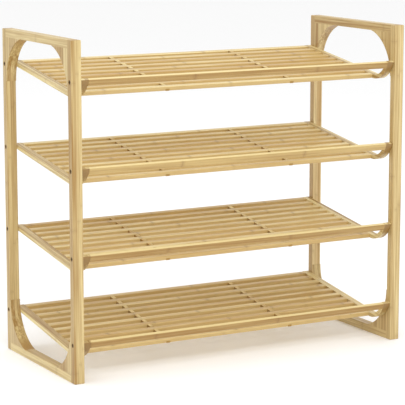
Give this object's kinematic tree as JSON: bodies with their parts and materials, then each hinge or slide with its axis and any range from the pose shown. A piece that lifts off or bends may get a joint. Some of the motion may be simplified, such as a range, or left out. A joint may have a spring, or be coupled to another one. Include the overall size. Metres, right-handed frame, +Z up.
{
  "type": "shoe rack",
  "caption": "Free-standing slatted bamboo shoe rack: two post-and-rail side frames with curved corner blocks carry sloping shelves with a raised front lip.",
  "frame": {"origin": "floor level, middle of the footprint", "axes": "+X along the shelves to the right, +Y to the back, +Z up; the shelves fall towards -Y"},
  "size_m": [0.7, 0.302, 0.615],
  "materials": {
    "frame_bamboo": "clear satin lacquer",
    "shelf_bamboo": "clear satin lacquer",
    "dowel_wood": "bare, glued in",
    "steel_screws": "yellowish zinc plate"
  },
  "bodies": {
    "root": {"bottom_shelf_left_batten": "shelf_bamboo", "bottom_shelf_left_end_rail": "shelf_bamboo", "bottom_shelf_lip_bar": "shelf_bamboo", "bottom_shelf_right_batten": "shelf_bamboo", "bottom_shelf_right_end_rail": "shelf_bamboo", "bottom_shelf_slat_dowels": "dowel_wood", "bottom_shelf_slats": "shelf_bamboo", "left_bottom_front_gusset": "frame_bamboo", "left_bottom_rail": "frame_bamboo", "left_bottom_rear_gusset": "frame_bamboo", "left_front_post": "frame_bamboo", "left_gusset_dowels": "dowel_wood", "left_rail_dowels": "dowel_wood", "left_rear_post": "frame_bamboo", "left_shelf_screws": "steel_screws", "left_top_front_gusset": "frame_bamboo", "left_top_rail": "frame_bamboo", "left_top_rear_gusset": "frame_bamboo", "lower_middle_shelf_left_batten": "shelf_bamboo", "lower_middle_shelf_left_end_rail": "shelf_bamboo", "lower_middle_shelf_lip_bar": "shelf_bamboo", "lower_middle_shelf_right_batten": "shelf_bamboo", "lower_middle_shelf_right_end_rail": "shelf_bamboo", "lower_middle_shelf_slat_dowels": "dowel_wood", "lower_middle_shelf_slats": "shelf_bamboo", "right_bottom_front_gusset": "frame_bamboo", "right_bottom_rail": "frame_bamboo", "right_bottom_rear_gusset": "frame_bamboo", "right_front_post": "frame_bamboo", "right_gusset_dowels": "dowel_wood", "right_rail_dowels": "dowel_wood", "right_rear_post": "frame_bamboo", "right_shelf_screws": "steel_screws", "right_top_front_gusset": "frame_bamboo", "right_top_rail": "frame_bamboo", "right_top_rear_gusset": "frame_bamboo", "top_shelf_left_batten": "shelf_bamboo", "top_shelf_left_end_rail": "shelf_bamboo", "top_shelf_lip_bar": "shelf_bamboo", "top_shelf_right_batten": "shelf_bamboo", "top_shelf_right_end_rail": "shelf_bamboo", "top_shelf_slat_dowels": "dowel_wood", "top_shelf_slats": "shelf_bamboo", "upper_middle_shelf_left_batten": "shelf_bamboo", "upper_middle_shelf_left_end_rail": "shelf_bamboo", "upper_middle_shelf_lip_bar": "shelf_bamboo", "upper_middle_shelf_right_batten": "shelf_bamboo", "upper_middle_shelf_right_end_rail": "shelf_bamboo", "upper_middle_shelf_slat_dowels": "dowel_wood", "upper_middle_shelf_slats": "shelf_bamboo"}
  },
  "joints": []
}
